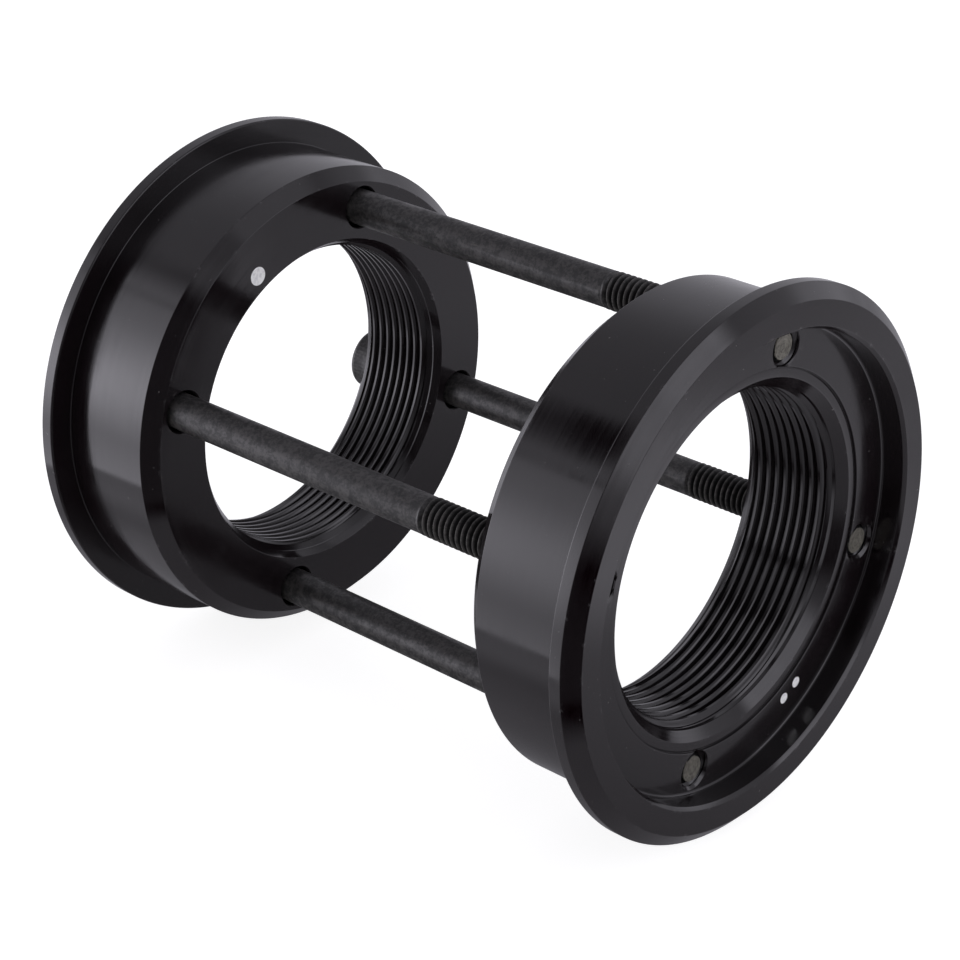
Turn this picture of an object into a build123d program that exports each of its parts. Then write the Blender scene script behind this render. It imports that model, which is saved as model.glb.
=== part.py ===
from build123d import *
import os

# A conversion bottom bracket.  Two turned cups slip into the two ends of an American
# one-piece-crank shell, and four long socket-head bolts draw them together until their
# flanges clamp the shell.  Each cup is threaded inside for a European bearing cup.
#
# Frame: the crank spindle's axis is X, with the drive side at +X, +Y forward and +Z up.
# The origin is on that axis, halfway between the two flanges.  All sizes are in millimetres.

# ---------------------------------------------------------------- driving dimensions

# the shell
shell_width = 68.0              # flange face to flange face
seat_dia = 51.2                 # cup body, a slip fit in the shell's 51.3 mm bore

# the cup's body, inside the shell
seat_length = 10.9              # from the flange to the edge of the end chamfer
end_chamfer_length = 1.5        # along the axis
end_chamfer_depth = 1.4         # across it

# the cup's flange, outside the shell
flange_dia = 56.4
land_length = 1.4               # straight part of the flange's edge
rim_chamfer_length = 1.3        # along the axis
rim_chamfer_depth = 1.45        # across it
edge_break = 0.15               # the sharp edges are just broken

# the recess in the cup's outer face
recess_dia = 47.7
recess_depth = 2.85
recess_mouth_chamfer = 0.35
shelf_dia = 38.9                # shallow turned shelf round the thread's mouth
shelf_depth = 0.25

# the bearing cup's thread, 1.37 in by 24 to the inch, bored to its crests
thread_bore_dia = 33.65
thread_relief_dia = 34.9        # turned to the thread's roots, past both its ends
outer_relief_length = 0.4
outer_mouth_dia = 36.8          # 45 degree lead-in from the shelf
inner_mouth_dia = 36.0
inner_mouth_length = 0.75       # slower lead-in from the inner face
inner_relief_length = 0.15
inner_taper_length = 0.925      # from the relief to the thread's crests

# the bolts, M4 by 65 with a hexagon socket
bolt_names = ["bolt_top", "bolt_front", "bolt_bottom", "bolt_back"]
bolt_circle_dia = 42.8
first_bolt_angle = 74.5         # of bolt_top, from +Y towards +Z
bolt_length = 65.0              # under the head
bolt_thread_length = 20.9
bolt_thread_dia = 3.95          # over the crests
shank_dia = 3.82
point_chamfer = 0.45
head_dia = 7.0
head_height = 4.0
head_edge_radius = 0.4
socket_width = 3.0              # across flats
socket_depth = 2.2

# the holes for them
bearing_face_depth = 5.25       # the heads' seats, below the left cup's ring face
head_pocket_dia = 7.6
clearance_hole_dia = 4.5        # through the left cup
tapped_hole_dia = 4.05          # through the right cup, just clear of the crests
tapped_mouth_chamfer = 0.15

# ---------------------------------------------------------------- derived places

flange_face = shell_width / 2
ring_face = flange_face + land_length + rim_chamfer_length
recess_floor = ring_face - recess_depth
shelf_floor = recess_floor - shelf_depth
inner_face = flange_face - seat_length - end_chamfer_length
bearing_face = ring_face - bearing_face_depth
bolt_tip = bolt_length - bearing_face
bolt_thread_start = bolt_tip - bolt_thread_length
bolt_angle_step = 360 / len(bolt_names)

seat_r = seat_dia / 2
flange_r = flange_dia / 2
recess_r = recess_dia / 2
bore_r = thread_bore_dia / 2
relief_r = thread_relief_dia / 2
thread_depth = relief_r - bore_r
bolt_circle_r = bolt_circle_dia / 2


# ---------------------------------------------------------------- shared shapes

def cup_outline():
    """Half section of a cup, as (distance from the middle, radius) going round it once."""
    shelf_r = shelf_dia / 2
    outer_mouth_r = outer_mouth_dia / 2
    inner_mouth_r = inner_mouth_dia / 2
    outer_relief_start = shelf_floor - (outer_mouth_r - relief_r)
    outer_relief_end = outer_relief_start - outer_relief_length
    inner_relief_start = inner_face + inner_mouth_length
    inner_relief_end = inner_relief_start + inner_relief_length
    return [
        # body and its end
        (inner_face, inner_mouth_r),
        (inner_face, seat_r - end_chamfer_depth),
        (inner_face + end_chamfer_length, seat_r),
        # flange
        (flange_face, seat_r),
        (flange_face, flange_r - edge_break),
        (flange_face + edge_break, flange_r),
        (flange_face + land_length, flange_r),
        (ring_face, flange_r - rim_chamfer_depth),
        # recess, down to the shelf round the thread's mouth
        (ring_face, recess_r + recess_mouth_chamfer),
        (ring_face - recess_mouth_chamfer, recess_r),
        (recess_floor, recess_r),
        (recess_floor, shelf_r),
        (shelf_floor, shelf_r),
        (shelf_floor, outer_mouth_r),
        # threaded bore between its two lead-ins
        (outer_relief_start, relief_r),
        (outer_relief_end, relief_r),
        (outer_relief_end - thread_depth, bore_r),
        (inner_relief_end + inner_taper_length, bore_r),
        (inner_relief_end, relief_r),
        (inner_relief_start, relief_r),
    ]


def turned_cup(side):
    """A cup before its bolt holes are drilled, at the end of the shell given by side."""
    with BuildPart() as blank:
        with BuildSketch(Plane.XZ):
            with BuildLine():
                Polyline(*[(side * distance, radius) for distance, radius in cup_outline()], close=True)
            make_face()
        revolve(axis=Axis.X)
    return blank.part


def bolt_axes():
    """The four bolt axes, as places on any plane across the spindle's axis."""
    return PolarLocations(bolt_circle_r, len(bolt_names), start_angle=first_bolt_angle)


# ---------------------------------------------------------------- left cup

with BuildPart() as left_cup:
    add(turned_cup(-1))
    with BuildSketch(Plane.YZ.offset(-ring_face)):
        with bolt_axes():
            Circle(clearance_hole_dia / 2)
    extrude(amount=ring_face - inner_face, mode=Mode.SUBTRACT)
    # seats for the bolt heads, which break into the recess wall and the thread's mouth
    with BuildSketch(Plane.YZ.offset(-ring_face)):
        with bolt_axes():
            Circle(head_pocket_dia / 2)
    extrude(amount=bearing_face_depth, mode=Mode.SUBTRACT)

# ---------------------------------------------------------------- right cup

with BuildPart() as right_cup:
    add(turned_cup(1))
    with BuildSketch(Plane.YZ.offset(inner_face)):
        with bolt_axes():
            Circle(tapped_hole_dia / 2)
    extrude(amount=recess_floor - inner_face, mode=Mode.SUBTRACT)
    # broken edge round each hole's mouth, on the recess floor
    with BuildSketch(Plane.YZ.offset(recess_floor)):
        with bolt_axes():
            Circle(tapped_hole_dia / 2 + tapped_mouth_chamfer)
    extrude(amount=-tapped_mouth_chamfer, taper=45, mode=Mode.SUBTRACT)

# ---------------------------------------------------------------- bolts


def bolt(angle):
    """One bolt, with its axis at the angle given and its head seated in the left cup."""
    seat = Plane.YZ.offset(-bearing_face)
    axis_point = seat.from_local_coords(Vector(bolt_circle_r, 0).rotate(Axis.Z, angle))
    head_seat = Plane(origin=axis_point, x_dir=seat.x_dir, z_dir=seat.z_dir)
    with BuildPart() as body:
        with BuildSketch(head_seat):
            Circle(head_dia / 2)
        extrude(amount=-head_height)
        fillet(body.edges().sort_by(Axis.X)[0], radius=head_edge_radius)
        with BuildSketch(head_seat.offset(-head_height)):
            RegularPolygon(socket_width / 2, 6, major_radius=False)
        extrude(amount=socket_depth, mode=Mode.SUBTRACT)
        with BuildSketch(head_seat):
            Circle(shank_dia / 2)
        extrude(amount=bolt_thread_start + bearing_face)
        with BuildSketch(head_seat.offset(bolt_thread_start + bearing_face)):
            Circle(bolt_thread_dia / 2)
        extrude(amount=bolt_thread_length)
        chamfer(body.edges().sort_by(Axis.X)[-1], length=point_chamfer)
    return body.part


bolts = {
    name: bolt(first_bolt_angle + bolt_angle_step * position)
    for position, name in enumerate(bolt_names)
}

# ---------------------------------------------------------------- files

os.makedirs("parts", exist_ok=True)

left_cup.part.label = "left_cup"
export_step(left_cup.part, "parts/left_cup.step")

right_cup.part.label = "right_cup"
export_step(right_cup.part, "parts/right_cup.step")

for name, part in bolts.items():
    part.label = name
    export_step(part, f"parts/{name}.step")
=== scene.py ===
import math

import bmesh
import bpy
from mathutils import Matrix, Vector


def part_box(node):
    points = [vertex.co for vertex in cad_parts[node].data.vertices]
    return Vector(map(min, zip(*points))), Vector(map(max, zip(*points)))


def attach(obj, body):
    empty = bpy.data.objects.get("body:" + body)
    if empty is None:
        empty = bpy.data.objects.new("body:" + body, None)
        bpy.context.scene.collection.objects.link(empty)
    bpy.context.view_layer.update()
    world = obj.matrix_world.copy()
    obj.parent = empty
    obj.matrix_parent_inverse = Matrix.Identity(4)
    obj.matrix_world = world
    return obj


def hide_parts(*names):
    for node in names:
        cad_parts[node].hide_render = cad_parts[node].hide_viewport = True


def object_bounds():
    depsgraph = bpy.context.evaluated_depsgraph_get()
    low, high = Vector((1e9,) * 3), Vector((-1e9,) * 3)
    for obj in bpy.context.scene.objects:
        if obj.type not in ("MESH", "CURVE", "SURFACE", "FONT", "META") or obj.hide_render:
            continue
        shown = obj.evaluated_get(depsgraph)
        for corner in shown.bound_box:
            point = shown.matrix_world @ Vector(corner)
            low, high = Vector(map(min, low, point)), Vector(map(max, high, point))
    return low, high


# The looks of a conversion bottom bracket: two black anodised cups and four black bolts.
# The spindle's axis is X, the drive side is +X and the object rests on its flanges.
# Lengths below are in millimetres and become metres when a mesh is made.

MM = 0.001
TURN = 2 * math.pi

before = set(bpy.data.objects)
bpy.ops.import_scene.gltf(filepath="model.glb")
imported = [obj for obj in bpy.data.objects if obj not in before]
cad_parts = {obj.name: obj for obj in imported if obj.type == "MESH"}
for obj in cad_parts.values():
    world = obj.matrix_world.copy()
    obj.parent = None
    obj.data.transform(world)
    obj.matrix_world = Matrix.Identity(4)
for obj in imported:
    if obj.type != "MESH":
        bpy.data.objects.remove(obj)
cad_low, cad_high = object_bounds()

# ---------------------------------------------------------------- sizes, as in the CAD model

right_low, right_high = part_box("right_cup")
bolt_low, bolt_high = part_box("bolt_top")

FLANGE_FACE = 34.0
FLANGE_R = right_high.y / MM
RING_FACE = right_high.x / MM
INNER_FACE = right_low.x / MM
LAND_LENGTH = 1.4
RIM_CHAMFER_DEPTH = 1.45

SEAT_R = 25.6
SEAT_LENGTH = 10.9
END_CHAMFER_DEPTH = 1.4

RECESS_R = 23.85
RECESS_DEPTH = 2.85
MOUTH_CHAMFER = 0.35
SHELF_R = 19.45
SHELF_DEPTH = 0.25
UNDERCUT_WIDTH = 0.22       # where the tool's corner ran a little deeper, beside the shelf's wall
UNDERCUT_DEPTH = 0.08
RECESS_FLOOR = RING_FACE - RECESS_DEPTH
SHELF_FLOOR = RECESS_FLOOR - SHELF_DEPTH

CUP_THREAD_CREST_R = 16.83
CUP_THREAD_ROOT_R = 17.4
CUP_THREAD_PITCH = 25.4 / 24
CUP_THREAD_CREST_SHARE = 0.3
OUTER_MOUTH_R = 18.4
INNER_MOUTH_R = 18.0
RELIEF_R = 17.45
INNER_MOUTH_LENGTH = 0.75
INNER_RELIEF_LENGTH = 0.15
INNER_TAPER_LENGTH = 0.925
INNER_RELIEF_START = INNER_FACE + INNER_MOUTH_LENGTH
INNER_RELIEF_END = INNER_RELIEF_START + INNER_RELIEF_LENGTH
INNER_TAPER_SLOPE = (RELIEF_R - CUP_THREAD_CREST_R) / INNER_TAPER_LENGTH
OUTER_RELIEF_START = SHELF_FLOOR - (OUTER_MOUTH_R - RELIEF_R)
OUTER_RELIEF_LENGTH = 0.4
OUTER_RELIEF_END = OUTER_RELIEF_START - OUTER_RELIEF_LENGTH

BOLT_CIRCLE_R = 21.4
BOLT_ANGLES = {"bolt_top": 74.5, "bolt_front": 164.5, "bolt_bottom": 254.5, "bolt_back": 344.5}
BOLT_CENTRES = {}            # as (y, z)
for bolt_name, bolt_angle in BOLT_ANGLES.items():
    place = math.radians(bolt_angle)
    BOLT_CENTRES[bolt_name] = (BOLT_CIRCLE_R * math.cos(place), BOLT_CIRCLE_R * math.sin(place))
# how far each bolt, and the thread it is in, is turned about its own axis
BOLT_THREAD_TURNS = {"bolt_top": 20, "bolt_front": 70, "bolt_bottom": 120, "bolt_back": 170}
HEAD_R = 3.5
HEAD_HEIGHT = 4.0
HEAD_SEAT = bolt_low.x / MM + HEAD_HEIGHT
BOLT_TIP = bolt_high.x / MM
SHANK_R = 1.91
BOLT_THREAD_R = 1.975
BOLT_THREAD_ROOT_R = 1.56
BOLT_THREAD_PITCH = 0.7
BOLT_THREAD_CREST_SHARE = 0.16
BOLT_THREAD_LENGTH = 20.9
BOLT_THREAD_START = BOLT_TIP - BOLT_THREAD_LENGTH
THREAD_LOOK_START = BOLT_THREAD_START + BOLT_THREAD_PITCH    # past the thread's run-out
END_FACE_DEPTH = 0.08
BOLT_POINT_R = 1.32
SOCKET_WIDTH = 3.0
SOCKET_DEPTH = 2.2
SOCKET_CONE_DEPTH = 0.7

CLEARANCE_HOLE_R = 2.25
HEAD_POCKET_R = 3.8
TAPPED_ROOT_R = 2.02        # outer and inner radius of the thread in a tapped hole
TAPPED_CREST_R = 1.63
TAPPED_MOUTH_R = 2.12       # its 45 degree countersink, at the cup's faces

LEFT_MARK_R = 19.8          # where the painted dots are, and their size
LEFT_MARK_ANGLE = 119.0
LEFT_DOT_R = 1.0
RIGHT_MARK_R = 21.0
RIGHT_MARK_ANGLES = (295.0, 301.0)
RIGHT_DOT_R = 0.58

SMOOTH_ANGLE = 25           # degrees; sharper edges stay crisp
CUP_COLUMNS = 240           # steps round a cup
ROD_COLUMNS = 48            # steps round a bolt's rod
KNURL_RIDGES = 48           # round a bolt's head
MARK_COLUMNS = 48           # steps round a painted dot
DRILL_COLUMNS = 64          # steps round a clearance hole
SPARE_TURNS = 2             # added past both ends of a thread before it is cut back


# ---------------------------------------------------------------- mesh helpers

def rounded(points, radii, steps=4):
    """A chain of (x, r) points with each inner corner replaced by an arc of the radius given."""
    out = [Vector(points[0])]
    for before, corner, after, radius in zip(points, points[1:], points[2:], radii[1:-1]):
        here = Vector(corner)
        back = (Vector(before) - here).normalized()
        ahead = (Vector(after) - here).normalized()
        half = back.angle(ahead) / 2
        if radius == 0 or half > math.radians(89):
            out.append(here)
            continue
        reach = radius / math.tan(half)
        centre = here + (back + ahead).normalized() * (radius / math.sin(half))
        start = (here + back * reach - centre).normalized()
        end = (here + ahead * reach - centre).normalized()
        for i in range(steps + 1):
            out.append(centre + start.slerp(end, i / steps) * radius)
    out.append(Vector(points[-1]))
    return out


def new_piece(name, bm):
    """A mesh object from bm, in metres, smooth except across sharp edges."""
    bmesh.ops.remove_doubles(bm, verts=bm.verts, dist=0.0004)
    bmesh.ops.dissolve_degenerate(bm, edges=bm.edges, dist=0.0002)
    bmesh.ops.recalc_face_normals(bm, faces=bm.faces)
    bmesh.ops.scale(bm, vec=(MM, MM, MM), verts=bm.verts)
    mesh = bpy.data.meshes.new(name)
    bm.to_mesh(mesh)
    bm.free()
    piece = bpy.data.objects.new(name, mesh)
    bpy.context.scene.collection.objects.link(piece)
    mesh.shade_smooth()
    mesh.set_sharp_from_angle(angle=math.radians(SMOOTH_ANGLE))
    return piece


def add_grid(bm, rows):
    """Faces between rows of equally many points, each row a closed ring."""
    rings = [[bm.verts.new(point) for point in row] for row in rows]
    for ring, following in zip(rings, rings[1:]):
        count = len(ring)
        for j in range(count):
            k = (j + 1) % count
            bm.faces.new((ring[j], ring[k], following[k], following[j]))
    return rings


def ring_points(x, r, columns):
    """Points of a circle across the X axis."""
    return [
        (x, r * math.cos(TURN * j / columns), r * math.sin(TURN * j / columns))
        for j in range(columns)
    ]


def add_lathe(bm, chain, columns):
    """The surface that a chain of (x, r) points sweeps round the X axis."""
    return add_grid(bm, [ring_points(x, r, columns) for x, r in chain])


def thread_corners(crest_share, root_share=0.1):
    """Phases along one pitch where the flat crest ends and the flat root starts and ends."""
    flank = (1 - crest_share - root_share) / 2
    return crest_share, crest_share + flank, crest_share + flank + root_share


def thread_form(phase, crest_share, crest_r, root_r):
    """Radius of a thread at a phase from 0 to 1 along one pitch."""
    crest_end, root_start, root_end = thread_corners(crest_share)
    if phase < crest_end:
        return crest_r
    if phase < root_start:
        return crest_r + (root_r - crest_r) * (phase - crest_end) / (root_start - crest_end)
    if phase < root_end:
        return root_r
    return root_r + (crest_r - root_r) * (phase - root_end) / (1 - root_end)


def thread_phases(crest_share):
    """Where along one pitch the rows of a threaded surface lie, closest at its corners."""
    crest_end, root_start, root_end = thread_corners(crest_share)
    soft = 0.03
    phases = [(crest_end + root_start) / 2, (root_end + 1) / 2]
    for corner in (0, crest_end, root_start, root_end):
        phases += [(corner - soft) % 1, (corner + soft) % 1]
    return sorted(phases)


def add_thread(bm, low, high, pitch, hand, columns, crest_share, crest_r, root_r, trim):
    """A helical threaded surface from low to high; trim(x, r) cuts it back at the ends."""
    phases = thread_phases(crest_share)
    per_turn = len(phases)
    turns = int((high - low) / pitch) + 2 * SPARE_TURNS + 1
    stations = []
    for turn in range(-SPARE_TURNS, turns - SPARE_TURNS):
        stations += [(turn, phase) for phase in phases]
    table = []
    for j in range(columns):
        shift = hand * pitch * j / columns
        column = []
        for turn, phase in stations:
            x = low + (turn + phase) * pitch + shift
            x = min(max(x, low), high)
            r = trim(x, thread_form(phase, crest_share, crest_r, root_r))
            angle = TURN * j / columns
            column.append(bm.verts.new((x, r * math.cos(angle), r * math.sin(angle))))
        table.append(column)
    last = len(stations) - 1
    for j in range(columns):
        wraps = j + 1 == columns
        neighbour = table[0] if wraps else table[j + 1]
        offset = hand * per_turn if wraps else 0
        for i in range(last):
            a, b = i + offset, i + 1 + offset
            if a < 0 or b > last:
                continue
            corners = (table[j][i], table[j][i + 1], neighbour[b], neighbour[a])
            bm.faces.new(corners)


def cut_holes(piece, cutters):
    """Cuts closed cutter meshes out of a piece and tidies the shading of its flat faces."""
    for number, cutter in enumerate(cutters):
        cut = piece.modifiers.new(f"hole_{number}", "BOOLEAN")
        cut.operation = "DIFFERENCE"
        cut.solver = "EXACT"
        cut.object = cutter
    bpy.context.view_layer.update()
    graph = bpy.context.evaluated_depsgraph_get()
    mesh = bpy.data.meshes.new_from_object(piece.evaluated_get(graph))
    piece.modifiers.clear()
    piece.data = mesh
    for cutter in cutters:
        bpy.data.objects.remove(cutter)
    mesh.set_sharp_from_angle(angle=math.radians(SMOOTH_ANGLE))
    weighted = piece.modifiers.new("flat_faces", "WEIGHTED_NORMAL")
    weighted.keep_sharp = True
    return piece


def move_to_bolt_axis(bm, name):
    """Moves a mesh made round the X axis to the named bolt's axis, turned to its thread."""
    turned, (y, z) = BOLT_THREAD_TURNS[name], BOLT_CENTRES[name]
    bmesh.ops.rotate(bm, matrix=Matrix.Rotation(math.radians(turned), 3, "X"), verts=bm.verts)
    bmesh.ops.translate(bm, vec=(0, y, z), verts=bm.verts)


def plain_cutter(name, chain):
    """A closed turned cutter on a bolt's axis, from a chain of (x, r)."""
    bm = bmesh.new()
    rings = add_lathe(bm, chain, DRILL_COLUMNS)
    bm.faces.new(rings[0])
    bm.faces.new(rings[-1])
    move_to_bolt_axis(bm, name)
    return new_piece(f"{name}_drill", bm)


def tapped_cutter(name):
    """A closed cutter of a tapped hole, whose thread fits the bolt's own."""
    bm = bmesh.new()
    outside = 0.4
    whole_turns = int((INNER_FACE - BOLT_THREAD_START) / BOLT_THREAD_PITCH)
    low = BOLT_THREAD_START + whole_turns * BOLT_THREAD_PITCH
    high = RECESS_FLOOR + outside

    def trim(x, r):
        return max(r, TAPPED_MOUTH_R - (RECESS_FLOOR - x), TAPPED_MOUTH_R - (x - INNER_FACE))

    add_thread(bm, low, high, BOLT_THREAD_PITCH, 1, ROD_COLUMNS,
               BOLT_THREAD_CREST_SHARE, TAPPED_ROOT_R, TAPPED_CREST_R, trim)
    for end in (low, high):
        ring = ring_points(end, trim(end, 0), ROD_COLUMNS)
        bm.faces.new([bm.verts.new(point) for point in ring])
    move_to_bolt_axis(bm, name)
    return new_piece(f"{name}_tap", bm)


# ---------------------------------------------------------------- cups

def cup_outline():
    """The turned outline of the right cup, from one end of its thread round to the other."""
    corners = [
        ((INNER_RELIEF_END, RELIEF_R), 0),
        ((INNER_RELIEF_START, RELIEF_R), 0.04),
        ((INNER_FACE, INNER_MOUTH_R), 0.06),
        ((INNER_FACE, SEAT_R - END_CHAMFER_DEPTH), 0.1),
        ((FLANGE_FACE - SEAT_LENGTH, SEAT_R), 0.12),
        ((FLANGE_FACE, SEAT_R), 0.1),
        ((FLANGE_FACE, FLANGE_R), 0.2),
        ((FLANGE_FACE + LAND_LENGTH, FLANGE_R), 0.12),
        ((RING_FACE, FLANGE_R - RIM_CHAMFER_DEPTH), 0.1),
        ((RING_FACE, RECESS_R + MOUTH_CHAMFER), 0.08),
        ((RING_FACE - MOUTH_CHAMFER, RECESS_R), 0.08),
        ((RECESS_FLOOR, RECESS_R), 0.3),
        ((RECESS_FLOOR, SHELF_R), 0.1),
        ((SHELF_FLOOR - UNDERCUT_DEPTH, SHELF_R), 0.02),
        ((SHELF_FLOOR, SHELF_R - UNDERCUT_WIDTH), 0.04),
        ((SHELF_FLOOR, OUTER_MOUTH_R), 0.06),
        ((OUTER_RELIEF_START, RELIEF_R), 0.1),
        ((OUTER_RELIEF_END, RELIEF_R), 0),
    ]
    return rounded([c[0] for c in corners], [c[1] for c in corners])


def cup_blank(name):
    """A turned cup at the drive side, with that side's left-hand bearing-cup thread."""
    bm = bmesh.new()
    add_lathe(bm, cup_outline(), CUP_COLUMNS)

    def trim(x, r):
        lead = min((x - INNER_RELIEF_END) * INNER_TAPER_SLOPE, OUTER_RELIEF_END - x)
        return max(r, RELIEF_R - lead)

    add_thread(bm, INNER_RELIEF_END, OUTER_RELIEF_END, CUP_THREAD_PITCH, -1, CUP_COLUMNS,
               CUP_THREAD_CREST_SHARE, CUP_THREAD_CREST_R, CUP_THREAD_ROOT_R, trim)
    return new_piece(name, bm)


def right_cup():
    """The drive-side cup: left-hand bearing thread, four tapped and countersunk holes."""
    cup = cup_blank("right_cup_body")
    return cut_holes(cup, [tapped_cutter(name) for name in BOLT_CENTRES])


def left_cup():
    """The mirrored cup: right-hand thread, clearance holes and seats for the bolt heads."""
    cup = cup_blank("left_cup_body")
    cup.data.transform(Matrix.Scale(-1, 4, (1, 0, 0)))
    cup.data.flip_normals()
    outside = 0.5
    broken = 0.12
    chain = [
        (-RING_FACE - outside, HEAD_POCKET_R),
        (HEAD_SEAT, HEAD_POCKET_R),
        (HEAD_SEAT, CLEARANCE_HOLE_R + broken),
        (HEAD_SEAT + broken, CLEARANCE_HOLE_R),
        (-INNER_FACE - broken, CLEARANCE_HOLE_R),
        (-INNER_FACE, CLEARANCE_HOLE_R + broken),
        (-INNER_FACE + outside, CLEARANCE_HOLE_R + broken),
    ]
    return cut_holes(cup, [plain_cutter(name, chain) for name in BOLT_CENTRES])


# ---------------------------------------------------------------- bolts

def add_head(bm, rod_ring):
    """A knurled socket head round the end ring of the rod, hollowed by its hexagon."""
    columns = ROD_COLUMNS * 3
    top = HEAD_SEAT - HEAD_HEIGHT
    knurl_depth = 0.09
    edge = 0.35

    def side(x, r, depth):
        points = []
        for j in range(columns):
            angle = TURN * j / columns
            ridge = abs((j * KNURL_RIDGES / columns) % 1 - 0.5) * 2
            radius = r - depth * ridge
            points.append((x, radius * math.cos(angle), radius * math.sin(angle)))
        return points

    def hexagon(x, width):
        points = []
        for j in range(columns):
            angle = TURN * j / columns
            within = (angle + TURN / 12) % (TURN / 6) - TURN / 12
            radius = width / 2 / math.cos(within)
            points.append((x, radius * math.cos(angle), radius * math.sin(angle)))
        return points

    rows = [
        ring_points(HEAD_SEAT, HEAD_R - 0.25, columns),
        side(HEAD_SEAT - 0.15, HEAD_R - 0.03, 0),
        side(HEAD_SEAT - 0.3, HEAD_R, knurl_depth),
        side(top + 0.62, HEAD_R, knurl_depth),
        side(top + 0.5, HEAD_R - 0.02, 0),
    ]
    for step in range(5):
        turn = math.radians(90 * step / 4)
        x = top + edge * (1 - math.sin(turn))
        rows.append(ring_points(x, HEAD_R - 0.05 - edge * (1 - math.cos(turn)), columns))
    chamfer_r = SOCKET_WIDTH / math.sqrt(3) + 0.08
    rows.append(ring_points(top, chamfer_r + 0.05, columns))
    rows.append(ring_points(top + 0.06, chamfer_r - 0.02, columns))
    rows.append(hexagon(top + 0.12, SOCKET_WIDTH))
    rows.append(hexagon(top + SOCKET_DEPTH, SOCKET_WIDTH))
    rows.append(ring_points(top + SOCKET_DEPTH + 0.02, SOCKET_WIDTH / 2 - 0.05, columns))
    rings = add_grid(bm, rows)
    centre = bm.verts.new((top + SOCKET_DEPTH + SOCKET_CONE_DEPTH, 0, 0))
    for j in range(columns):
        bm.faces.new((rings[-1][j], rings[-1][(j + 1) % columns], centre))
    for j in range(ROD_COLUMNS):
        k = (j + 1) % ROD_COLUMNS
        outer = [rings[0][(3 * j + i) % columns] for i in range(4)]
        bm.faces.new([rod_ring[k], rod_ring[j], *outer])


def bolt(name):
    """One socket-head bolt on its axis, with its thread started at its own angle."""
    bm = bmesh.new()
    shank = rounded(
        [
            (HEAD_SEAT, SHANK_R + 0.25),
            (HEAD_SEAT + 0.02, SHANK_R + 0.2),
            (HEAD_SEAT + 0.3, SHANK_R),
            (BOLT_THREAD_START, SHANK_R),
        ],
        [0, 0, 0.3, 0],
    )
    rings = add_lathe(bm, shank, ROD_COLUMNS)
    add_head(bm, rings[0])
    run_out = 0.7
    point_slope = 1.6

    def trim(x, r):
        start = BOLT_THREAD_START
        share = min(1, max(0, (x - start) / run_out))
        crest = SHANK_R + (BOLT_THREAD_R - SHANK_R) * share
        cut = crest - (BOLT_THREAD_R - r) * share
        return min(cut, BOLT_POINT_R + (BOLT_TIP - x) / point_slope)

    add_thread(bm, BOLT_THREAD_START, BOLT_TIP, BOLT_THREAD_PITCH, 1, ROD_COLUMNS,
               BOLT_THREAD_CREST_SHARE, BOLT_THREAD_R, BOLT_THREAD_ROOT_R, trim)
    tip = [
        (BOLT_TIP, BOLT_POINT_R),
        (BOLT_TIP, BOLT_POINT_R * 0.55),
        (BOLT_TIP - 0.06, BOLT_POINT_R * 0.45),
        (BOLT_TIP - 0.06, BOLT_POINT_R * 0.1),
    ]
    end_rings = add_lathe(bm, tip, ROD_COLUMNS)
    bm.faces.new(end_rings[-1])
    move_to_bolt_axis(bm, name)
    return new_piece(f"{name}_body", bm)


# ---------------------------------------------------------------- materials

class Nodes:
    """Short calls for the nodes of a material or of the studio's light."""

    def __init__(self, tree):
        self.nodes = tree.nodes
        self.links = tree.links

    def feed(self, socket, value):
        """Links a socket, or sets a number or colour, on an input."""
        if isinstance(value, bpy.types.NodeSocket):
            self.links.new(value, socket)
        else:
            socket.default_value = value

    def math(self, operation, *values):
        node = self.nodes.new("ShaderNodeMath")
        node.operation = operation
        for socket, value in zip(node.inputs, values):
            self.feed(socket, value)
        return node.outputs[0]

    def ramp(self, value, start, end, low=0.0, high=1.0):
        """A smooth step of a value from low at start to high at end."""
        node = self.nodes.new("ShaderNodeMapRange")
        node.interpolation_type = "SMOOTHSTEP"
        for key, setting in (("Value", value), ("From Min", start), ("From Max", end),
                             ("To Min", low), ("To Max", high)):
            self.feed(node.inputs[key], setting)
        return node.outputs["Result"]


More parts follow.
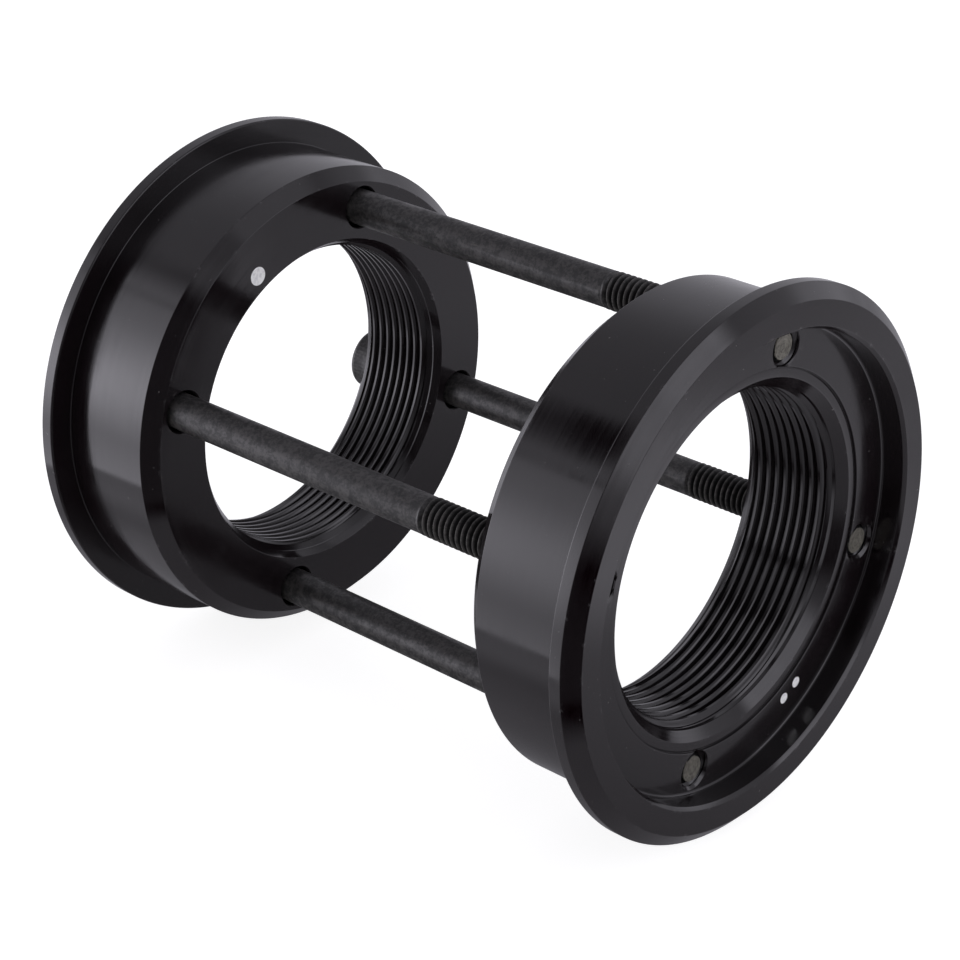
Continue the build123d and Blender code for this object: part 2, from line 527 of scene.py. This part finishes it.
class Finish(Nodes):
    """A node material; lengths are in mm."""

    def __init__(self, name):
        self.material = bpy.data.materials.new(name)
        self.material.use_nodes = True
        super().__init__(self.material.node_tree)
        self.shader = self.nodes["Principled BSDF"]

    def place(self):
        """X, Y and Z on the object, which keep their place as it moves."""
        scaled = self.nodes.new("ShaderNodeVectorMath")
        scaled.operation = "SCALE"
        coordinates = self.nodes.new("ShaderNodeTexCoord")
        self.links.new(coordinates.outputs["Object"], scaled.inputs[0])
        scaled.inputs["Scale"].default_value = 1 / MM
        parts = self.nodes.new("ShaderNodeSeparateXYZ")
        self.links.new(scaled.outputs[0], parts.inputs[0])
        return parts.outputs["X"], parts.outputs["Y"], parts.outputs["Z"]

    def point(self, x, y, z):
        node = self.nodes.new("ShaderNodeCombineXYZ")
        for socket, value in zip(node.inputs, (x, y, z)):
            self.feed(socket, value)
        return node.outputs[0]

    def distance(self, point, centre):
        node = self.nodes.new("ShaderNodeVectorMath")
        node.operation = "DISTANCE"
        self.feed(node.inputs[0], point)
        self.feed(node.inputs[1], centre)
        return node.outputs["Value"]

    def noise(self, point, size, detail=3.0, roughness=0.55):
        """Cloudy noise from 0 to 1 with features of the size given."""
        node = self.nodes.new("ShaderNodeTexNoise")
        self.feed(node.inputs["Vector"], point)
        node.inputs["Scale"].default_value = 1 / size
        node.inputs["Detail"].default_value = detail
        node.inputs["Roughness"].default_value = roughness
        return node.outputs["Fac"]

    def mix(self, share, first, second):
        node = self.nodes.new("ShaderNodeMix")
        node.data_type = "RGBA"
        self.feed(node.inputs["Factor"], share)
        self.feed(node.inputs["A"], first)
        self.feed(node.inputs["B"], second)
        return node.outputs["Result"]

    def attribute(self, name):
        """A value stored at the mesh's points."""
        node = self.nodes.new("ShaderNodeAttribute")
        node.attribute_name = name
        return node.outputs["Fac"]

    def scaled_sum(self, *terms):
        """The sum of values, each given with its weight."""
        total = 0.0
        for value, weight in terms:
            total = self.math("ADD", total, self.math("MULTIPLY", value, weight))
        return total

    def bump(self, height, depth):
        """Surface relief, depth in mm at a height of 1."""
        node = self.nodes.new("ShaderNodeBump")
        node.inputs["Distance"].default_value = depth * MM
        self.feed(node.inputs["Height"], height)
        self.links.new(node.outputs["Normal"], self.shader.inputs["Normal"])


ANODISE_BLACK = (0.0056, 0.0037, 0.0045, 1)
# lighter colour of the edges: worn anodise, and in part a painted edge highlight
ANODISE_WORN_AND_HIGHLIGHT = (0.05, 0.047, 0.05, 1)
DUST = (0.16, 0.155, 0.15, 1)
ANODISE_IOR = 1.6
OXIDE_DARK = (0.01, 0.0095, 0.0095, 1)
OXIDE_GREY = (0.046, 0.043, 0.042, 1)
OXIDE_STREAK = (0.06, 0.055, 0.05, 1)
# painted shade, darkening the thread's valleys
OXIDE_VALLEY_SHADE = (0.004, 0.0038, 0.0038, 1)
# worn crests, lightened further as a painted highlight
OXIDE_CREST_WEAR_AND_HIGHLIGHT = (0.11, 0.105, 0.1, 1)
STEEL_BARE = (0.21, 0.2, 0.17, 1)
STEEL_STAINED = (0.08, 0.074, 0.064, 1)
PAINT_THICK = (0.86, 0.86, 0.86, 1)
PAINT_THIN = (0.6, 0.6, 0.62, 1)


def turned_edges():
    """Places, as (x, r), of the cup's outer edges, where handling wears the anodise and a light
    edge highlight is painted.
    """
    return [
        (INNER_FACE, SEAT_R - END_CHAMFER_DEPTH),
        (FLANGE_FACE - SEAT_LENGTH, SEAT_R),
        (FLANGE_FACE, FLANGE_R),
        (FLANGE_FACE + LAND_LENGTH, FLANGE_R),
        (RING_FACE, FLANGE_R - RIM_CHAMFER_DEPTH),
        (RING_FACE, RECESS_R + MOUTH_CHAMFER),
        (INNER_FACE, INNER_MOUTH_R),
        (SHELF_FLOOR, OUTER_MOUTH_R),
    ]


def anodised_black(name, roughness, grooves):
    """Black anodise on turned aluminium: tool marks, worn edges that also carry a painted
    highlight, smudges and a little dust.
    """
    finish = Finish(name)
    shader = finish.shader
    x, y, z = finish.place()
    side = finish.math("ABSOLUTE", x)
    r = finish.math("SQRT", finish.scaled_sum((y, y), (z, z)))
    body = finish.point(x, y, z)

    # tool marks run round the axis, so they vary quickly across it and slowly along them
    slow = 0.02
    groove_point = finish.point(side, r, finish.math("MULTIPLY", y, slow))
    groove = finish.noise(groove_point, 0.35, detail=2.0)
    smudge = finish.noise(body, 7.0, detail=4.0)
    grain = finish.noise(body, 0.25, detail=2.0)

    # edges lightened here and there: worn anodise, and in part a painted edge highlight
    edge_wear_and_highlight = 0.0
    section = finish.point(side, r, 0.0)
    for edge_x, edge_r in turned_edges():
        near = finish.distance(section, (edge_x, edge_r, 0))
        edge_wear_and_highlight = finish.math("MAXIMUM", edge_wear_and_highlight, finish.ramp(near, 0.05, 0.3, 1.0, 0.0))
    patchy = finish.ramp(finish.noise(body, 1.6, detail=5.0, roughness=0.7), 0.55, 0.72)
    edge_wear_and_highlight = finish.math("MULTIPLY", edge_wear_and_highlight, patchy)

    # dust and rubbing round the bolt holes
    halo = 0.0
    across = finish.point(0.0, y, z)
    for y_centre, z_centre in BOLT_CENTRES.values():
        near = finish.distance(across, (0, y_centre, z_centre))
        halo = finish.math("MAXIMUM", halo, finish.ramp(near, 2.2, 3.4, 1.0, 0.0))
    fluff = finish.ramp(finish.noise(body, 0.5, detail=4.0, roughness=0.75), 0.52, 0.75)
    speck = finish.ramp(finish.noise(body, 0.4, detail=1.0), 0.78, 0.81)
    dust = finish.scaled_sum((finish.math("MULTIPLY", halo, fluff), 0.2), (speck, 0.4))

    # the edges' lighter colour is partly a painted highlight
    colour = finish.mix(edge_wear_and_highlight, ANODISE_BLACK, ANODISE_WORN_AND_HIGHLIGHT)
    finish.feed(shader.inputs["Base Color"], finish.mix(dust, colour, DUST))
    smudged = finish.ramp(smudge, 0.35, 0.7, roughness - 0.03, roughness + 0.05)
    uneven = finish.math("SUBTRACT", groove, 0.5)
    rough = finish.scaled_sum((smudged, 1.0), (uneven, grooves), (edge_wear_and_highlight, 0.15), (dust, 0.3))
    finish.feed(shader.inputs["Roughness"], rough)
    shader.inputs["IOR"].default_value = ANODISE_IOR
    finish.bump(finish.scaled_sum((groove, grooves), (grain, 0.1)), 0.012)
    return finish


def turned_anodise():
    """The anodise on the plain turned faces, which blurs reflections across its tool marks."""
    finish = anodised_black("black_anodise_turned", roughness=0.125, grooves=0.14)
    finish.shader.inputs["Anisotropic"].default_value = 0.89
    finish.shader.inputs["Anisotropic Rotation"].default_value = 0.25
    tangent = finish.nodes.new("ShaderNodeTangent")
    tangent.direction_type = "RADIAL"
    tangent.axis = "X"
    finish.links.new(tangent.outputs["Tangent"], finish.shader.inputs["Tangent"])
    return finish.material


def threaded_anodise():
    """The anodise in the threads, cut smooth and bright."""
    return anodised_black("black_anodise_thread", roughness=0.15, grooves=0.03).material


def black_oxide(name, specular):
    """Black oxide on rolled steel: mottled, grainy and streaked along the rod; crests worn and
    lightened as a painted highlight; painted shade in the thread's valleys.
    """
    finish = Finish(name)
    shader = finish.shader
    shader.inputs["Specular IOR Level"].default_value = specular
    x, y, z = finish.place()
    body = finish.point(x, y, z)
    along = finish.point(finish.math("MULTIPLY", x, 0.12), y, z)
    blotch = finish.noise(body, 1.1, detail=4.0, roughness=0.65)
    grain = finish.noise(body, 0.34, detail=3.0, roughness=0.7)
    streak = finish.noise(along, 0.35, detail=3.0)
    depth = finish.attribute("thread_depth")
    # crests worn here and there, and lightened as a painted highlight
    uneven = finish.ramp(streak, 0.3, 0.7, 0.25, 0.8)
    crest_wear_and_highlight = finish.math("MULTIPLY", finish.attribute("crest"), uneven)

    mottle = finish.scaled_sum((blotch, 0.5), (grain, 0.5))
    colour = finish.mix(finish.ramp(mottle, 0.42, 0.6), OXIDE_DARK, OXIDE_GREY)
    colour = finish.mix(finish.ramp(streak, 0.62, 0.8), colour, OXIDE_STREAK)
    # painted shade: the deeper a point lies in the thread, the darker
    colour = finish.mix(depth, colour, OXIDE_VALLEY_SHADE)
    finish.feed(shader.inputs["Base Color"], finish.mix(crest_wear_and_highlight, colour, OXIDE_CREST_WEAR_AND_HIGHLIGHT))
    shader.inputs["IOR"].default_value = 1.55
    rough = finish.scaled_sum((finish.ramp(mottle, 0.4, 0.6, 0.52, 0.36), 1.0), (depth, 0.2))
    finish.feed(shader.inputs["Roughness"], rough)
    finish.bump(finish.scaled_sum((grain, 1.0), (streak, 0.6)), 0.018)
    return finish.material


def sawn_steel():
    """The bolts' bare end faces, dull brownish steel with wandering rings of tool marks."""
    finish = Finish("bare_steel_end")
    shader = finish.shader
    x, y, z = finish.place()
    body = finish.point(x, y, z)
    wobble = finish.noise(body, 0.8)
    phase = finish.scaled_sum((finish.attribute("axis_distance"), 22), (wobble, 9))
    ring = finish.math("SINE", phase)
    stain = finish.ramp(finish.noise(body, 0.5, detail=4.0, roughness=0.7), 0.35, 0.65)
    stain = finish.math("MULTIPLY", stain, finish.ramp(ring, -1.0, 1.0, 1.0, 0.5))
    finish.feed(shader.inputs["Base Color"], finish.mix(stain, STEEL_BARE, STEEL_STAINED))
    shader.inputs["Metallic"].default_value = 0.45
    finish.feed(shader.inputs["Roughness"], finish.ramp(stain, 0.0, 1.0, 0.38, 0.6))
    pits = finish.noise(body, 0.12, detail=3.0)
    finish.bump(finish.scaled_sum((pits, 1.0), (ring, 0.4)), 0.02)
    return finish.material


def mark_paint():
    """White paint of the dots that mark the cups, a little uneven."""
    finish = Finish("mark_paint")
    x, y, z = finish.place()
    body = finish.point(x, y, z)
    thin = finish.ramp(finish.noise(body, 0.35, detail=4.0), 0.4, 0.75)
    finish.feed(finish.shader.inputs["Base Color"], finish.mix(thin, PAINT_THICK, PAINT_THIN))
    finish.shader.inputs["Roughness"].default_value = 0.45
    finish.bump(finish.noise(body, 0.2), 0.01)
    return finish.material


# ---------------------------------------------------------------- the object

def mark_dot(name, x, r, angle, radius):
    """A low dot of paint on a face across the axis, facing +X."""
    bm = bmesh.new()
    height = 0.02
    chain = [(0, radius), (height * 0.7, radius - 0.03), (height, radius - 0.09)]
    rings = add_lathe(bm, chain, MARK_COLUMNS)
    bm.faces.new(rings[-1])
    turn = math.radians(angle)
    bmesh.ops.translate(bm, vec=(x, r * math.cos(turn), r * math.sin(turn)), verts=bm.verts)
    return new_piece(name, bm)


def note_radii(piece, name):
    """Stores how far a bolt's points are from its axis, and how high or deep in its thread."""
    crest_from, crest_band = 1.86, 0.1
    deep_from, deep_band = 1.9, 0.15
    y, z = BOLT_CENTRES[name]
    radii = [math.hypot(v.co.y / MM - y, v.co.z / MM - z) for v in piece.data.vertices]
    crests, depths = [], []
    for vertex, r in zip(piece.data.vertices, radii):
        threaded = THREAD_LOOK_START < vertex.co.x / MM < BOLT_TIP
        crests.append(min(1, max(0, (r - crest_from) / crest_band)) if threaded else 0)
        depths.append(min(1, max(0, (deep_from - r) / deep_band)) if threaded else 0)
    for label, values in (("axis_distance", radii), ("crest", crests), ("thread_depth", depths)):
        piece.data.attributes.new(label, "FLOAT", "POINT").data.foreach_set("value", values)


def in_bore(face):
    """True where a cup's face is in its bearing thread or in a bolt hole."""
    place = (face.center.y / MM, face.center.z / MM)
    if math.hypot(*place) < RELIEF_R + 0.02:
        return True
    nearest = min(math.dist(place, centre) for centre in BOLT_CENTRES.values())
    return nearest < CLEARANCE_HOLE_R + 0.1 and abs(face.normal.x) < 0.95


turned_finish = turned_anodise()
thread_finish = threaded_anodise()
shank_finish = black_oxide("black_oxide", specular=0.5)
bolt_thread_finish = black_oxide("black_oxide_thread", specular=0.22)
end_finish = sawn_steel()
dot_finish = mark_paint()

for node, build in (("left_cup", left_cup), ("right_cup", right_cup)):
    cup = build()
    cup.data.materials.clear()
    cup.data.materials.append(turned_finish)
    cup.data.materials.append(thread_finish)
    for face in cup.data.polygons:
        face.material_index = 1 if in_bore(face) else 0
    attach(cup, node)
    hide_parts(node)

for node in BOLT_CENTRES:
    piece = bolt(node)
    note_radii(piece, node)
    for finish in (shank_finish, bolt_thread_finish, end_finish):
        piece.data.materials.append(finish)
    for face in piece.data.polygons:
        x = face.center.x / MM
        face.material_index = (x > THREAD_LOOK_START) + (x > BOLT_TIP - END_FACE_DEPTH)
    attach(piece, node)
    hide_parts(node)

MARKS = [("left_cup", -INNER_FACE, LEFT_MARK_R, LEFT_MARK_ANGLE, LEFT_DOT_R)]
for mark_angle in RIGHT_MARK_ANGLES:
    MARKS.append(("right_cup", RECESS_FLOOR, RIGHT_MARK_R, mark_angle, RIGHT_DOT_R))
for number, (node, x, r, angle, radius) in enumerate(MARKS):
    dot = mark_dot(f"{node}_dot_{number}", x, r, angle, radius)
    dot.data.materials.append(dot_finish)
    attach(dot, node)

# ---------------------------------------------------------------- studio

FLOOR_Z = cad_low.z
FLOOR_RADIUS = 4.0          # in metres
MIRRORED_TABLE_RADIUS = 1.2
STUDIO_TINT = (0.982, 0.962, 1.055, 1)


def stage_disc(name, radius, material):
    """A flat round sheet at floor height."""
    bm = bmesh.new()
    bmesh.ops.create_circle(bm, cap_ends=True, segments=96, radius=radius)
    mesh = bpy.data.meshes.new(name)
    bm.to_mesh(mesh)
    bm.free()
    mesh.materials.append(material)
    disc = bpy.data.objects.new(name, mesh)
    disc.location.z = FLOOR_Z
    bpy.context.scene.collection.objects.link(disc)
    return disc


floor_finish = Finish("studio_floor")
floor_finish.shader.inputs["Base Color"].default_value = (0.5, 0.5, 0.5, 1)
floor_finish.shader.inputs["Roughness"].default_value = 0.8
floor_finish.shader.inputs["Emission Color"].default_value = (1, 1, 1, 1)
floor_finish.shader.inputs["Emission Strength"].default_value = 0.86
floor = stage_disc("floor", FLOOR_RADIUS, floor_finish.material)
floor.visible_glossy = False

# what the metal mirrors of the table behind it: the object's shade, and a pool of light beyond
glow = Finish("table_glow")
table_x, table_y, _ = glow.place()
shade = glow.ramp(glow.math("ADD", table_x, table_y), 10, 120, 0.2, 0.46)
pool_distance = glow.distance(glow.point(table_x, table_y, 0.0), (92, 46, 0))
pool = glow.ramp(pool_distance, 18, 42, 0.42, 0.0)
beyond = glow.ramp(table_x, 95, 130, 0.0, -0.08)
glow_light = glow.nodes.new("ShaderNodeEmission")
glow_light.inputs["Color"].default_value = STUDIO_TINT
glow_strength = glow.scaled_sum((shade, 1.0), (pool, 1.0), (beyond, 1.0))
glow.feed(glow_light.inputs["Strength"], glow_strength)
inside = glow.math("MULTIPLY", glow.ramp(table_x, -60, -30), glow.ramp(table_y, -38, -12))
clear = glow.nodes.new("ShaderNodeBsdfTransparent")
blend = glow.nodes.new("ShaderNodeMixShader")
glow.feed(blend.inputs["Fac"], inside)
glow.links.new(clear.outputs[0], blend.inputs[1])
glow.links.new(glow_light.outputs[0], blend.inputs[2])
glow.links.new(blend.outputs[0], glow.nodes["Material Output"].inputs["Surface"])
mirrored_table = stage_disc("mirrored_table", MIRRORED_TABLE_RADIUS, glow.material)
mirrored_table.visible_camera = False
mirrored_table.visible_diffuse = False
mirrored_table.visible_shadow = False

world = bpy.data.worlds.new("studio")
bpy.context.scene.world = world
world.use_nodes = True
sky = Nodes(world.node_tree)

direction = sky.nodes.new("ShaderNodeSeparateXYZ")
sky.links.new(sky.nodes.new("ShaderNodeTexCoord").outputs["Generated"], direction.inputs[0])
DEGREES = 180 / math.pi
backward = sky.math("MULTIPLY", direction.outputs["Y"], -1)
azimuth = sky.math("MULTIPLY", sky.math("ARCTAN2", direction.outputs["X"], backward), DEGREES)
elevation = sky.math("MULTIPLY", sky.math("ARCSINE", direction.outputs["Z"]), DEGREES)


def panel(strength, left, right, bottom, top):
    """A soft panel of light; each side is the two angles between which it fades."""
    across = sky.math("SUBTRACT", sky.ramp(azimuth, *left), sky.ramp(azimuth, *right))
    upward = sky.math("SUBTRACT", sky.ramp(elevation, *bottom), sky.ramp(elevation, *top))
    return sky.math("MULTIPLY", sky.math("MULTIPLY", across, upward), strength)


ALL_ROUND = {"left": (-400, -399), "right": (399, 400)}
panels = [
    # white room with a darker ceiling, and the table in the object's own shade
    panel(0.56, bottom=(-44, -36), top=(99, 100), **ALL_ROUND),
    panel(0.31, bottom=(-100, -99), top=(-44, -36), **ALL_ROUND),
    panel(-0.18, bottom=(30, 48), top=(99, 100), **ALL_ROUND),
    panel(0.10, left=(-125, -115), right=(-80, -70), bottom=(-56, -50), top=(-44, -36)),
    # large softbox at the front left, low down, and its glow on the table
    panel(0.57, left=(-85, -65), right=(-53, -19), bottom=(-31.5, -29.5), top=(18, 36)),
    panel(0.35, left=(-85, -65), right=(-53, -19), bottom=(-31.5, -29.5), top=(33, 38)),
    panel(2.0, left=(-85, -65), right=(-53, -20), bottom=(-19, 1), top=(3, 24)),
    # gap between that softbox and the ceiling
    panel(-0.38, left=(-70, -61), right=(-47, -39), bottom=(37, 41), top=(49, 55)),
    # dark seam across the softbox's upper part
    panel(-0.8, left=(-54, -50), right=(-40, -36), bottom=(32.3, 32.6), top=(33.7, 34.0)),
    panel(-0.35, left=(-64, -60), right=(-54, -50), bottom=(30.7, 31.1), top=(32.1, 32.5)),
    # second softbox, high at the back right
    panel(0.95, left=(62, 76), right=(122, 132), bottom=(14, 26), top=(38, 50)),
    panel(0.30, left=(88, 100), right=(124, 134), bottom=(28, 36), top=(44, 54)),
    panel(0.28, left=(84, 96), right=(158, 172), bottom=(44, 50), top=(60, 70)),
    panel(0.35, left=(152, 162), right=(176, 190), bottom=(0, 10), top=(20, 30)),
    # unlit side of the room, behind the camera
    panel(-0.50, left=(6, 22), right=(56, 68), bottom=(-48, -38), top=(36, 50)),
    panel(-0.36, left=(56, 62), right=(80, 90), bottom=(-52, -44), top=(-2, 14)),
    panel(-0.30, left=(80, 90), right=(128, 138), bottom=(-56, -48), top=(-32, -22)),
]
total = panels[0]
for light in panels[1:]:
    total = sky.math("ADD", total, light)
sky.links.new(total, sky.nodes["Background"].inputs["Strength"])
sky.nodes["Background"].inputs["Color"].default_value = STUDIO_TINT

# the backdrop itself is plain white
backdrop = sky.nodes.new("ShaderNodeBackground")
backdrop.inputs["Color"].default_value = (1, 1, 1, 1)
seen = sky.nodes.new("ShaderNodeMixShader")
sky.links.new(sky.nodes.new("ShaderNodeLightPath").outputs["Is Camera Ray"], seen.inputs["Fac"])
sky.links.new(sky.nodes["Background"].outputs[0], seen.inputs[1])
sky.links.new(backdrop.outputs[0], seen.inputs[2])
sky.links.new(seen.outputs[0], sky.nodes["World Output"].inputs["Surface"])

bpy.context.scene.view_settings.view_transform = "Standard"

# ---------------------------------------------------------------- camera

VIEW_AZIMUTH = math.radians(42.1)
VIEW_ELEVATION = math.radians(26.5)
VIEW_DISTANCE = 0.2656
LENS = 96.4
AIM_RIGHT = 0.00037         # the lens looks this far right of the origin, in the picture plane
AIM_UP = -0.00218

right = Vector((math.cos(VIEW_AZIMUTH), math.sin(VIEW_AZIMUTH), 0))
back = Vector((
    math.sin(VIEW_AZIMUTH) * math.cos(VIEW_ELEVATION),
    -math.cos(VIEW_AZIMUTH) * math.cos(VIEW_ELEVATION),
    math.sin(VIEW_ELEVATION),
))
up = back.cross(right)

camera_data = bpy.data.cameras.new("camera")
camera_data.lens = LENS
camera_data.clip_start = 0.01
camera = bpy.data.objects.new("camera", camera_data)
camera_place = right * AIM_RIGHT + up * AIM_UP + back * VIEW_DISTANCE
camera_turn = Matrix((right, up, back)).transposed().to_4x4()
camera.matrix_world = Matrix.Translation(camera_place) @ camera_turn
bpy.context.scene.collection.objects.link(camera)
bpy.context.scene.camera = camera
